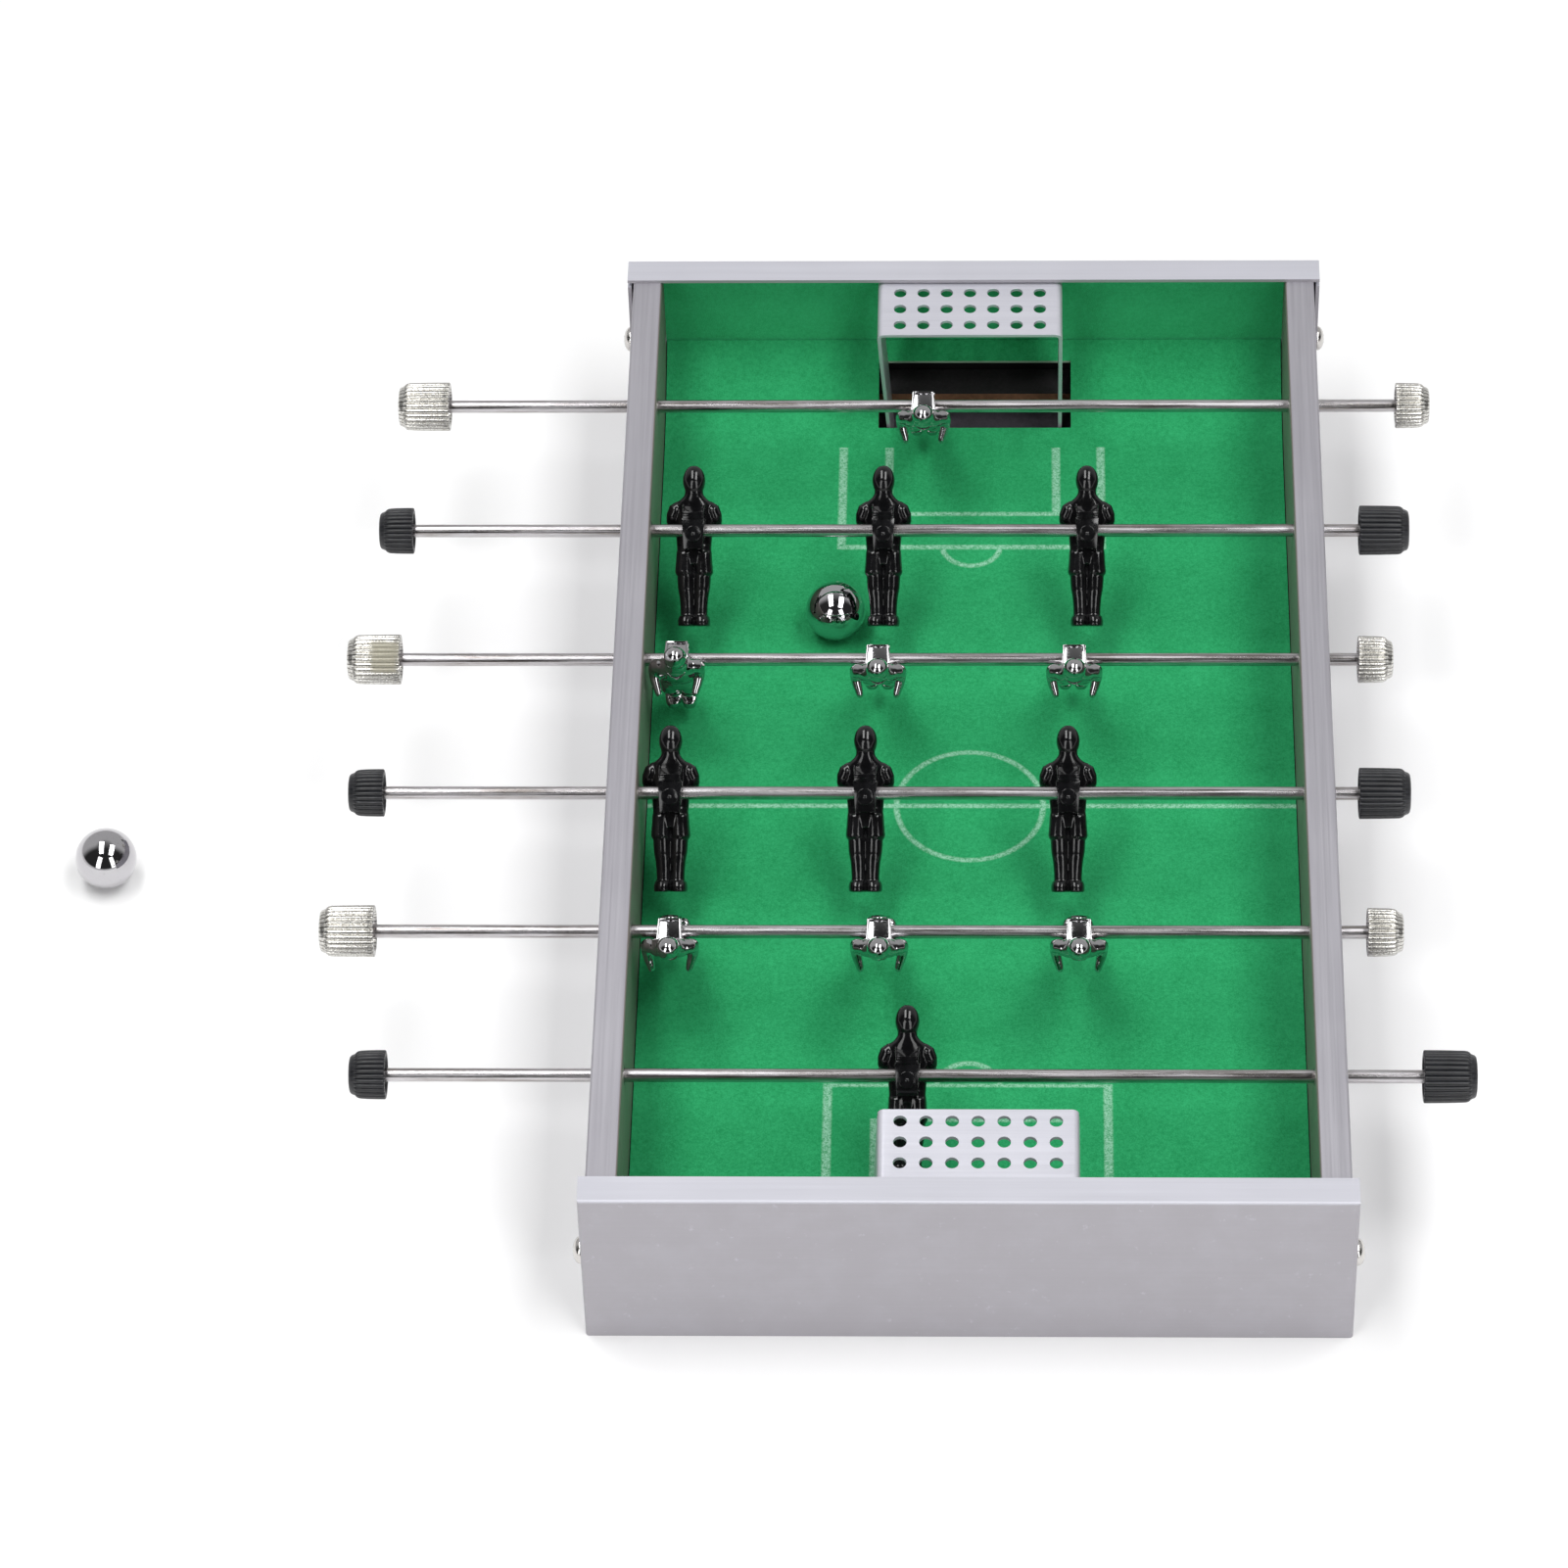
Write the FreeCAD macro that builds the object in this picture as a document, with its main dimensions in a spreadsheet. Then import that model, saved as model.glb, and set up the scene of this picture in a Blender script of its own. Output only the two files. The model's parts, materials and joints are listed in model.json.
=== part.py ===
import FreeCAD, Part
import math
import os

import Sketcher

# A miniature table-top foosball table.  Millimetres, +Z up.  The origin is the
# centre of the underside; +X runs along the rods, to the right, and +Y runs to
# the far goal.  The far goal is defended by the chrome team, the near one by the
# black team.

DIMENSIONS = {
    # case
    "case_width": 150.0,
    "case_length": 265.0,
    "case_height": 41.0,
    "sheet": 0.8,
    "cap_lip": 6.5,
    "cap_relief": 1.2,
    "cap_bend": 0.7,
    "wall_half_width": 73.7,
    "wall_thickness": 6.2,
    "wall_bend": 0.6,
    "flap_screw_inset": 3.3,
    "screw_height": 20.5,
    "screw_shank_radius": 1.2,
    "screw_head_radius": 2.5,
    "screw_head_height": 1.6,
    "screw_bite": 5.2,
    # floor of the game
    "bottom_thickness": 1.6,
    "board_top": 9.4,
    "board_thickness": 3.0,
    "batten_width": 6.0,
    "end_batten_width": 3.6,
    "card_thickness": 0.5,
    "card_side_gap": 0.2,
    "card_flat_half": 100.0,
    "card_curl_radius": 58.0,
    "card_curl_angle": 32.0,
    "lining_thickness": 0.6,
    "lining_bottom": 15.0,
    # goals
    "cutout_width": 42.0,
    "cutout_start": 111.0,
    "board_cutout_end": 123.3,
    "card_cutout_end": 126.5,
    "far_hood_width": 39.9,
    "near_hood_width": 39.2,
    "far_hood_front": 110.0,
    "near_hood_front": 108.8,
    "hood_back": 131.0,
    "hood_top": 39.8,
    "cheek_front": 111.8,
    "cheek_back": 123.0,
    "hole_pitch": 5.03,
    "hole_radius": 1.3,
    "far_hole_middle_row": 118.2,
    "near_hole_middle_row": 116.7,
    # rods
    "row_pitch": 37.7,
    "rod_height": 33.7,
    "rod_radius": 1.35,
    "rod_bite": 6.0,
    "bush_bore_radius": 1.4,
    "bush_radius": 2.0,
    "bush_hole_radius": 2.05,
    "grip_length": 11.0,
    "grip_radius": 5.2,
    "button_length": 7.2,
    "button_radius": 4.85,
    "knob_boss_radius": 2.6,
    "knob_boss_length": 1.0,
    # men, measured from the rod's axis, standing upright and facing +Y
    "man_bore_radius": 1.37,
    "head_height": 10.7,
    "head_forward": 2.0,
    "head_half_height": 3.0,
    "head_half_width": 2.15,
    "head_half_depth": 2.2,
    "neck_radius": 1.5,
    "torso_top": 6.2,
    "torso_bottom": -4.0,
    "shorts_bottom": -9.5,
    "foot_top": -18.2,
    "foot_bottom": -20.0,
    "foot_half_width": 3.2,
    "foot_back": -0.2,
    "foot_front": 6.2,
    "block_half_width": 2.5,
    "block_back": -3.1,
    "block_top": 3.9,
    "block_bottom": -3.7,
    "arm_radius": 0.9,
    # balls
    "ball_radius": 6.35,
}

# One entry a rod, from the far end to the near end: where the rod is slid to,
# how far apart its two knobs are, which way its men lean and where they sit on it.
ROWS = [
    {"name": "chrome_goalie", "team": "chrome", "shift": -10.9, "span": 202.5, "men": {"man": (0.4, 46.0)}},
    {
        "name": "black_attack",
        "team": "black",
        "shift": -18.5,
        "span": 198.5,
        "men": {"man_left": (-40.2, 48.0), "man_middle": (-0.2, 48.0), "man_right": (42.7, 48.0)},
    },
    {
        "name": "chrome_midfield",
        "team": "chrome",
        "shift": -19.2,
        "span": 198.0,
        "men": {"man_left": (-41.6, 32.0), "man_middle": (0.0, 44.0), "man_right": (40.5, 44.0)},
    },
    {
        "name": "black_midfield",
        "team": "black",
        "shift": -20.6,
        "span": 197.5,
        "men": {"man_left": (-40.5, 48.0), "man_middle": (-0.8, 48.0), "man_right": (40.4, 48.0)},
    },
    {
        "name": "chrome_attack",
        "team": "chrome",
        "shift": -19.9,
        "span": 198.0,
        "men": {"man_left": (-39.8, 49.0), "man_middle": (1.9, 49.0), "man_right": (41.7, 49.0)},
    },
    {"name": "black_goalie", "team": "black", "shift": -13.1, "span": 202.5, "men": {"man": (1.0, 48.0)}},
]

X_AXIS = FreeCAD.Vector(1, 0, 0)
Y_AXIS = FreeCAD.Vector(0, 1, 0)
Z_AXIS = FreeCAD.Vector(0, 0, 1)

os.makedirs("parts", exist_ok=True)
doc = FreeCAD.newDocument("foosball_table")
sheet = doc.addObject("Spreadsheet::Sheet", "dims")
for line, (alias, number) in enumerate(DIMENSIONS.items(), start=1):
    sheet.set(f"A{line}", alias)
    sheet.set(f"B{line}", str(number))
    sheet.setAlias(f"B{line}", alias)
doc.recompute()

nodes = []


def size(alias):
    """The number that the sheet holds under an alias."""
    return float(getattr(sheet, alias))


def number(expression):
    """What an expression in the sheet's cells comes to."""
    return float(sheet.evalExpression(expression))


def bind(thing, **expressions):
    """Drive an object's properties from the sheet."""
    for prop, expression in expressions.items():
        thing.setExpression(prop, expression)
    return thing


def put(thing, x="0", y="0", z="0"):
    """Drive an object's position from the sheet."""
    thing.setExpression("Placement.Base.x", x)
    thing.setExpression("Placement.Base.y", y)
    thing.setExpression("Placement.Base.z", z)
    return thing


def node(thing, label):
    """Give a finished sub-part the name that it is handed in under."""
    thing.Label = label
    nodes.append(thing)
    return thing


# ---- Part primitives and booleans -------------------------------------------


def box(name, x, y, z):
    """A box from pairs of expressions: each axis is (low, high)."""
    block = doc.addObject("Part::Box", name)
    bind(block, Length=f"({x[1]}) - ({x[0]})", Width=f"({y[1]}) - ({y[0]})", Height=f"({z[1]}) - ({z[0]})")
    return put(block, x[0], y[0], z[0])


def cylinder_x(name, radius, x, y="0", z="0"):
    """A cylinder along X between two expressions."""
    bar = doc.addObject("Part::Cylinder", name)
    bind(bar, Radius=radius, Height=f"({x[1]}) - ({x[0]})")
    bar.Placement.Rotation = FreeCAD.Rotation(Y_AXIS, 90)
    return put(bar, x[0], y, z)


def fuse(name, shapes):
    joined = doc.addObject("Part::MultiFuse", name)
    joined.Shapes = shapes
    return joined


def cut(name, base, tool):
    left = doc.addObject("Part::Cut", name)
    left.Base = base
    left.Tool = tool
    return left


def group(name, shapes):
    """Several identical separate pieces that share one node."""
    together = doc.addObject("Part::Compound", name)
    together.Links = shapes
    return together


# ---- sketched bodies --------------------------------------------------------


def sketched_body(name):
    return doc.addObject("PartDesign::Body", name)


def sketch_on(body, role, offset="0", name="profile"):
    """A sketch on one of the body's own origin planes, moved along its normal."""
    plane = next(f for f in body.Origin.OriginFeatures if f.Role == role)
    sketch = body.newObject("Sketcher::SketchObject", f"{body.Name}_{name}")
    sketch.AttachmentSupport = [(plane, "")]
    sketch.MapMode = "FlatFace"
    sketch.setExpression("AttachmentOffset.Base.z", offset)
    return sketch


def fix_point(sketch, curve, vertex, x, y):
    """Hold a sketch point at two driven distances from the origin."""
    for kind, expression in (("DistanceX", x), ("DistanceY", y)):
        value = number(expression)
        index = sketch.addConstraint(Sketcher.Constraint(kind, -1, 1, curve, vertex, value))
        sketch.setExpression(f"Constraints[{index}]", expression)


def polygon(sketch, corners):
    """A closed outline whose corners are pairs of expressions."""
    points = [FreeCAD.Vector(number(x), number(y), 0) for x, y in corners]
    first = sketch.GeometryCount
    count = len(points)
    for i in range(count):
        sketch.addGeometry(Part.LineSegment(points[i], points[(i + 1) % count]), False)
    for i in range(count):
        sketch.addConstraint(Sketcher.Constraint("Coincident", first + i, 2, first + (i + 1) % count, 1))
    for i, (x, y) in enumerate(corners):
        fix_point(sketch, first + i, 1, x, y)


def rectangle(sketch, x, y):
    polygon(sketch, [(x[0], y[0]), (x[1], y[0]), (x[1], y[1]), (x[0], y[1])])


def circle(sketch, x, y, radius):
    centre = FreeCAD.Vector(number(x), number(y), 0)
    curve = sketch.addGeometry(Part.Circle(centre, Z_AXIS, number(radius)), False)
    index = sketch.addConstraint(Sketcher.Constraint("Radius", curve, number(radius)))
    sketch.setExpression(f"Constraints[{index}]", radius)
    fix_point(sketch, curve, 3, x, y)


def pad(body, sketch, length, name="pad"):
    feature = body.newObject("PartDesign::Pad", f"{body.Name}_{name}")
    feature.Profile = sketch
    feature.setExpression("Length", length)
    return feature


def pocket(body, sketch, length, name="pocket"):
    """Cut along the sketch's normal."""
    feature = body.newObject("PartDesign::Pocket", f"{body.Name}_{name}")
    feature.Profile = sketch
    feature.Reversed = True
    feature.setExpression("Length", length)
    return feature


def round_edges(body, feature, radius, wanted, name="round"):
    """Fillet the edges of a feature whose middle the test accepts."""
    doc.recompute()
    chosen = []
    for i, edge in enumerate(feature.Shape.Edges, start=1):
        if wanted(edge.CenterOfMass, edge.Length):
            chosen.append(f"Edge{i}")
    rounded = body.newObject("PartDesign::Fillet", f"{body.Name}_{name}")
    rounded.Base = (feature, chosen)
    rounded.setExpression("Radius", radius)
    body.Tip = rounded
    return rounded


# ---- case -------------------------------------------------------------------

HALF_LENGTH = "dims.case_length / 2"
HALF_WIDTH = "dims.case_width / 2"
CAP_INSIDE = "dims.case_length / 2 - dims.sheet"
WALL_TOP = "dims.case_height - dims.sheet"
WALL_INSIDE = "dims.wall_half_width - dims.wall_thickness"
SCREW_Y = "dims.case_length / 2 - dims.flap_screw_inset"
ROW_Y = [f"dims.row_pitch * {2.5 - i}" for i in range(len(ROWS))]


def wall_bores(sketch):
    """The holes that both layers of a wall have in common."""
    for row_y in ROW_Y:
        circle(sketch, row_y, "dims.rod_height", "dims.bush_hole_radius")
    for side in ("-1", "1"):
        circle(sketch, f"{side} * ({SCREW_Y})", "dims.screw_height", "dims.screw_shank_radius")


def side_wall(hand, side):
    """One long wall: a fibreboard core under a bent aluminium channel."""
    core = sketched_body(f"{hand}_wall_core")
    core_low = "dims.wall_half_width - dims.wall_thickness + dims.sheet"
    core_high = "dims.wall_half_width - dims.sheet"
    sketch = sketch_on(core, "YZ_Plane", core_low if side > 0 else f"-({core_high})")
    rectangle(sketch, (f"-({CAP_INSIDE})", CAP_INSIDE), ("0", f"{WALL_TOP} - dims.sheet"))
    wall_bores(sketch)
    pad(core, sketch, "dims.wall_thickness - 2 * dims.sheet")
    node(core, f"{hand}_wall_core")
    skin = sketched_body(f"{hand}_wall_skin")
    low_x = WALL_INSIDE if side > 0 else "-dims.wall_half_width"
    outline = sketch_on(skin, "YZ_Plane", low_x)
    rectangle(outline, (f"-({CAP_INSIDE})", CAP_INSIDE), ("0", WALL_TOP))
    wall_bores(outline)
    pad(skin, outline, "dims.wall_thickness", "blank")
    hollow = sketch_on(skin, "YZ_Plane", core_low if side > 0 else f"-({core_high})", "hollow")
    rectangle(hollow, (f"-({HALF_LENGTH})", HALF_LENGTH), ("-1", f"{WALL_TOP} - dims.sheet"))
    pocket(skin, hollow, "dims.wall_thickness - 2 * dims.sheet", "hollow_pocket")
    doc.recompute()
    top = size("case_height") - size("sheet")
    edge_x = (size("wall_half_width"), size("wall_half_width") - size("wall_thickness"))

    def folded(middle_point, length):
        on_top = abs(middle_point.z - top) < 0.01
        at_edge = min(abs(abs(middle_point.x) - x) for x in edge_x) < 0.01
        return on_top and at_edge and length > top

    round_edges(skin, doc.getObject(f"{skin.Name}_hollow_pocket"), "dims.wall_bend", folded)
    return node(skin, f"{hand}_wall_skin")


def end_cap(label, end):
    """A bent sheet: the face, a lip over the top and a flap round each side."""
    cap = sketched_body(label)
    outer = f"{end} * ({HALF_LENGTH})"
    inner = f"{end} * ({CAP_INSIDE})"
    lip = f"{end} * ({HALF_LENGTH} - dims.cap_lip)"
    profile = sketch_on(cap, "YZ_Plane", f"-({HALF_WIDTH})", "face")
    corners = [
        (outer, "0"),
        (outer, "dims.case_height"),
        (lip, "dims.case_height"),
        (lip, WALL_TOP),
        (inner, WALL_TOP),
        (inner, "0"),
    ]
    polygon(profile, corners)
    pad(cap, profile, "dims.case_width", "face_pad")
    flaps = sketch_on(cap, "XY_Plane", "0", "flaps")
    middle = f"{end} * ({HALF_LENGTH} - dims.sheet / 2)"
    for side in ("-1", "1"):
        across = (f"{side} * ({HALF_WIDTH})", f"{side} * ({HALF_WIDTH} - dims.sheet)")
        rectangle(flaps, across, (middle, lip))
    pad(cap, flaps, f"{WALL_TOP} - dims.cap_relief", "flap_pad")
    holes = sketch_on(cap, "YZ_Plane", f"-({HALF_WIDTH}) - dims.sheet", "screw_hole")
    circle(holes, f"{end} * ({SCREW_Y})", "dims.screw_height", "dims.screw_shank_radius")
    pocket(cap, holes, "dims.case_width + 2 * dims.sheet", "screw_hole_pocket")
    doc.recompute()
    edge_y = end * size("case_length") / 2
    top = size("case_height")
    half_width = size("case_width") / 2

    def bend(middle_point, length):
        outside = abs(middle_point.y - edge_y) < 0.01
        along_top = outside and abs(middle_point.z - top) < 0.01 and length > half_width
        upright = outside and abs(abs(middle_point.x) - half_width) < 0.01 and length > top / 2
        return along_top or upright

    round_edges(cap, doc.getObject(f"{cap.Name}_screw_hole_pocket"), "dims.cap_bend", bend)
    return node(cap, label)


def cap_screws():
    """Four pan-head screws, through the cap flaps into the walls."""
    screws = []
    for side in (-1, 1):
        for end in (-1, 1):
            name = f"screw_{side + 1}_{end + 1}"
            head_seat = f"({HALF_WIDTH})"
            tip = "dims.wall_half_width - dims.screw_bite"
            y = f"{end} * ({SCREW_Y})"
            shank_span = (tip, head_seat) if side > 0 else (f"-{head_seat}", f"-({tip})")
            shank = cylinder_x(f"{name}_shank", "dims.screw_shank_radius", shank_span, y, "dims.screw_height")
            far_x = f"{head_seat} + dims.screw_head_height"
            head_span = (head_seat, far_x) if side > 0 else (f"-({far_x})", f"-{head_seat}")
            head = cylinder_x(f"{name}_head", "dims.screw_head_radius", head_span, y, "dims.screw_height")
            screws.append(fuse(name, [shank, head]))
    return node(group("screws", screws), "cap_screws")


# ---- floor of the game ------------------------------------------------------

BOARD_BOTTOM = "dims.board_top - dims.board_thickness"
LINING_INSIDE = f"{CAP_INSIDE} - dims.lining_thickness"
CARD_TOP = "dims.board_top + dims.card_thickness"
CUTOUT_CENTRE = {"far": "0.3", "near": "1.9"}
END_SIGN = {"far": 1, "near": -1}


def floor_panels():
    across, along = (f"-({WALL_INSIDE})", WALL_INSIDE), (f"-({CAP_INSIDE})", CAP_INSIDE)
    bottom = box("bottom", across, along, ("0", "dims.bottom_thickness"))
    node(bottom, "bottom_panel")
    height = ("dims.bottom_thickness", BOARD_BOTTOM)
    inner_x = f"{WALL_INSIDE} - dims.batten_width"
    node(box("batten_l", (f"-({WALL_INSIDE})", f"-({inner_x})"), along, height), "left_batten")
    node(box("batten_r", (inner_x, WALL_INSIDE), along, height), "right_batten")
    across = (f"-({inner_x})", inner_x)
    inner_y = f"{CAP_INSIDE} - dims.end_batten_width"
    node(box("batten_f", across, (inner_y, CAP_INSIDE), height), "far_batten")
    node(box("batten_n", across, (f"-({CAP_INSIDE})", f"-({inner_y})"), height), "near_batten")


def cutout_span(end):
    centre = CUTOUT_CENTRE[end]
    return (f"{centre} - dims.cutout_width / 2", f"{centre} + dims.cutout_width / 2")


def end_span(end, low, high):
    """A stretch along Y at one end, given by its distances from the middle."""
    if END_SIGN[end] > 0:
        return (low, high)
    return (f"-({high})", f"-({low})")


def pitch_board():
    board = sketched_body("pitch_board")
    sketch = sketch_on(board, "XY_Plane", BOARD_BOTTOM)
    rectangle(sketch, (f"-({WALL_INSIDE})", WALL_INSIDE), (f"-({LINING_INSIDE})", LINING_INSIDE))
    for end in END_SIGN:
        rectangle(sketch, cutout_span(end), end_span(end, "dims.cutout_start", "dims.board_cutout_end"))
    pad(board, sketch, "dims.board_thickness")
    return node(board, "pitch_board")


def pitch_card():
    """The flocked card: flat on its board, and sprung up in an arc at both ends."""
    half_width = f"({WALL_INSIDE} - dims.card_side_gap)"
    flat = box(
        "card_flat",
        (f"-{half_width}", half_width),
        ("-dims.card_flat_half", "dims.card_flat_half"),
        ("dims.board_top", CARD_TOP),
    )
    pieces = [flat]
    across = FreeCAD.Rotation(Y_AXIS, 90)
    turn = {"far": across, "near": FreeCAD.Rotation(Z_AXIS, 180) * across}
    radii = {"outer": "dims.card_curl_radius + dims.card_thickness", "inner": "dims.card_curl_radius"}
    axis_height = f"{CARD_TOP} + dims.card_curl_radius"
    for end, sign in END_SIGN.items():
        rings = []
        for name, radius in radii.items():
            sector = doc.addObject("Part::Cylinder", f"card_{end}_{name}")
            bind(sector, Radius=radius, Height=f"2 * {half_width}", Angle="dims.card_curl_angle")
            sector.Placement.Rotation = turn[end]
            put(sector, f"{-sign} * {half_width}", f"{sign} * dims.card_flat_half", axis_height)
            rings.append(sector)
        pieces.append(cut(f"card_{end}_curl", rings[0], rings[1]))
    whole = fuse("card_whole", pieces)
    openings = []
    for end in END_SIGN:
        y = end_span(end, "dims.cutout_start", "dims.card_cutout_end")
        z = ("dims.board_top - 1", "dims.case_height")
        openings.append(box(f"card_{end}_opening", cutout_span(end), y, z))
    return node(cut("card", whole, fuse("card_openings", openings)), "pitch_card")


def end_linings():
    for end in END_SIGN:
        half_width = f"({WALL_INSIDE})"
        y = end_span(end, LINING_INSIDE, CAP_INSIDE)
        lining = box(f"lining_{end}", (f"-{half_width}", half_width), y, ("dims.lining_bottom", WALL_TOP))
        node(lining, f"{end}_end_lining")


# ---- goals ------------------------------------------------------------------

HOOD_CENTRE = {"far": "-0.65", "near": "1.9"}
HOLE_COLUMNS = 7
HOLE_ROWS = 3


def goal_hood(end):
    """A perforated sheet roof with two cheeks that stand in the goal's cut-out."""
    sign = END_SIGN[end]
    centre = HOOD_CENTRE[end]
    hood = sketched_body(f"{end}_goal_hood")
    low_x = f"{centre} - dims.{end}_hood_width / 2"
    high_x = f"{centre} + dims.{end}_hood_width / 2"
    front = f"dims.{end}_hood_front"
    middle_row = f"dims.{end}_hole_middle_row"
    roof = sketch_on(hood, "XY_Plane", "dims.hood_top - dims.sheet", "roof")
    rectangle(roof, (low_x, high_x), end_span(end, front, "dims.hood_back"))
    for column in range(HOLE_COLUMNS):
        for line in range(HOLE_ROWS):
            x = f"{centre} + dims.hole_pitch * {column - (HOLE_COLUMNS - 1) / 2}"
            y = f"{sign} * ({middle_row} + dims.hole_pitch * {line - (HOLE_ROWS - 1) / 2})"
            circle(roof, x, y, "dims.hole_radius")
    pad(hood, roof, "dims.sheet", "roof_pad")
    for name, cheek_x in (("left", low_x), ("right", f"{high_x} - dims.sheet")):
        cheek = sketch_on(hood, "YZ_Plane", cheek_x, f"{name}_cheek")
        corners = [
            (f"{sign} * {front}", "dims.hood_top"),
            (f"{sign} * dims.cheek_front", "dims.board_top + dims.card_thickness"),
            (f"{sign} * dims.cheek_front", "dims.bottom_thickness"),
            (f"{sign} * dims.cheek_back", "dims.bottom_thickness"),
            (f"{sign} * dims.cheek_back", "dims.hood_top"),
        ]
        polygon(cheek, corners)
        pad(hood, cheek, "dims.sheet", f"{name}_cheek_pad")
    return node(hood, f"{end}_goal_hood")


# ---- men --------------------------------------------------------------------


def tapered(name, bottom, top, z):
    """A block that tapers upwards; bottom and top are (half width, back, front)."""
    wedge = doc.addObject("Part::Wedge", name)
    half, back, front = bottom
    wedge.Xmin, wedge.Xmax = -half, half
    wedge.Zmin, wedge.Zmax = -front, -back
    half, back, front = top
    wedge.X2min, wedge.X2max = -half, half
    wedge.Z2min, wedge.Z2max = -front, -back
    bind(wedge, Ymin=z[0], Ymax=z[1])
    wedge.Placement.Rotation = FreeCAD.Rotation(X_AXIS, 90)
    return wedge


def limb(name, start, end):
    """A round limb between two points, with a ball at its far end."""
    bone = doc.addObject("Part::Cylinder", f"{name}_bone")
    run = FreeCAD.Vector(*end) - FreeCAD.Vector(*start)
    bind(bone, Radius="dims.arm_radius")
    bone.Height = run.Length
    bone.Placement = FreeCAD.Placement(FreeCAD.Vector(*start), FreeCAD.Rotation(Z_AXIS, run))
    knuckle = doc.addObject("Part::Sphere", f"{name}_end")
    bind(knuckle, Radius="dims.arm_radius")
    knuckle.Placement.Base = FreeCAD.Vector(*end)
    return [bone, knuckle]


def man(name, x, row_y, lean, team):
    """One player, moulded round a block on his back that the rod goes through."""
    head = doc.addObject("Part::Ellipsoid", f"{name}_head")
    bind(
        head,
        Radius1="dims.head_half_height",
        Radius2="dims.head_half_width",
        Radius3="dims.head_half_depth",
    )
    put(head, "0", "dims.head_forward", "dims.head_height")
    neck = doc.addObject("Part::Cylinder", f"{name}_neck")
    bind(neck, Radius="dims.neck_radius", Height="dims.head_height - dims.torso_top + 1")
    put(neck, "0", "dims.head_forward + 0.3", "dims.torso_top - 1")
    armpit, waist = "dims.torso_top - 2", "dims.torso_bottom"
    body = [
        head,
        neck,
        tapered(f"{name}_shoulders", (4.2, 1.0, 4.9), (2.4, 1.3, 3.8), (armpit, "dims.torso_top")),
        tapered(f"{name}_torso", (3.4, 1.0, 4.8), (4.2, 1.0, 4.9), (waist, armpit)),
        tapered(f"{name}_shorts", (3.9, 0.7, 5.4), (3.4, 1.0, 4.8), ("dims.shorts_bottom", waist)),
        tapered(f"{name}_legs", (2.6, 1.2, 3.8), (3.4, 0.9, 4.6), ("dims.foot_top", "dims.shorts_bottom")),
        box(
            f"{name}_foot",
            ("-dims.foot_half_width", "dims.foot_half_width"),
            ("dims.foot_back", "dims.foot_front"),
            ("dims.foot_bottom", "dims.foot_top"),
        ),
        box(
            f"{name}_block",
            ("-dims.block_half_width", "dims.block_half_width"),
            ("dims.block_back", "1.5"),
            ("dims.block_bottom", "dims.block_top"),
        ),
    ]
    for side in (-1, 1):
        shoulder = (side * 3.6, 2.6, 4.6)
        elbow = (side * 4.8, 2.6, 1.6)
        hand = (side * 3.5, 7.4, 0.8)
        body += limb(f"{name}_upper_arm_{side + 1}", shoulder, elbow)
        body += limb(f"{name}_forearm_{side + 1}", elbow, hand)
    bore = cylinder_x(f"{name}_bore", "dims.man_bore_radius", ("-8", "8"))
    player = cut(name, fuse(f"{name}_body", body), bore)
    if team == "black":
        turn = FreeCAD.Rotation(X_AXIS, -lean)
    else:
        turn = FreeCAD.Rotation(X_AXIS, lean) * FreeCAD.Rotation(Z_AXIS, 180)
    player.Placement.Rotation = turn
    put(player, str(x), row_y, "dims.rod_height")
    return node(player, name)


# ---- rods -------------------------------------------------------------------


def knob(label, length, radius, inner_x, outward, row_y):
    """A knob turned about its rod: a boss, a tapered barrel and a rounded end."""
    turned = sketched_body(label)
    sketch = sketch_on(turned, "XY_Plane")
    bite = "dims.rod_bite"
    boss = "dims.knob_boss_length"
    bore = "dims.rod_radius"
    outline = [
        ("0", bore),
        ("0", "dims.knob_boss_radius"),
        (boss, "dims.knob_boss_radius"),
        (boss, f"{radius} - 0.4"),
        (f"{boss} + 0.4", radius),
        (f"{length} - 1.4", f"{radius} - 0.45"),
        (f"{length} - 0.4", f"{radius} - 0.95"),
        (length, f"{radius} - 1.9"),
        (length, "0"),
        (bite, "0"),
        (bite, bore),
    ]
    polygon(sketch, outline)
    revolved = turned.newObject("PartDesign::Revolution", f"{turned.Name}_turn")
    revolved.Profile = sketch
    revolved.ReferenceAxis = (sketch, ["H_Axis"])
    revolved.Angle = 360
    if outward < 0:
        turned.Placement.Rotation = FreeCAD.Rotation(Z_AXIS, 180)
    put(turned, inner_x, row_y, "dims.rod_height")
    return node(turned, label)


def bush_pair(name, row_y):
    """The two thin sleeves that line the rod's holes in the walls."""
    sleeves = []
    for side in (-1, 1):
        span = (WALL_INSIDE, "dims.wall_half_width")
        if side < 0:
            span = ("-dims.wall_half_width", f"-({WALL_INSIDE})")
        outer = cylinder_x(f"{name}_outer_{side + 1}", "dims.bush_radius", span, row_y, "dims.rod_height")
        bore = "dims.bush_bore_radius"
        inner = cylinder_x(f"{name}_inner_{side + 1}", bore, span, row_y, "dims.rod_height")
        sleeves.append(cut(f"{name}_sleeve_{side + 1}", outer, inner))
    return node(group(f"{name}_pair", sleeves), name)


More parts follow.
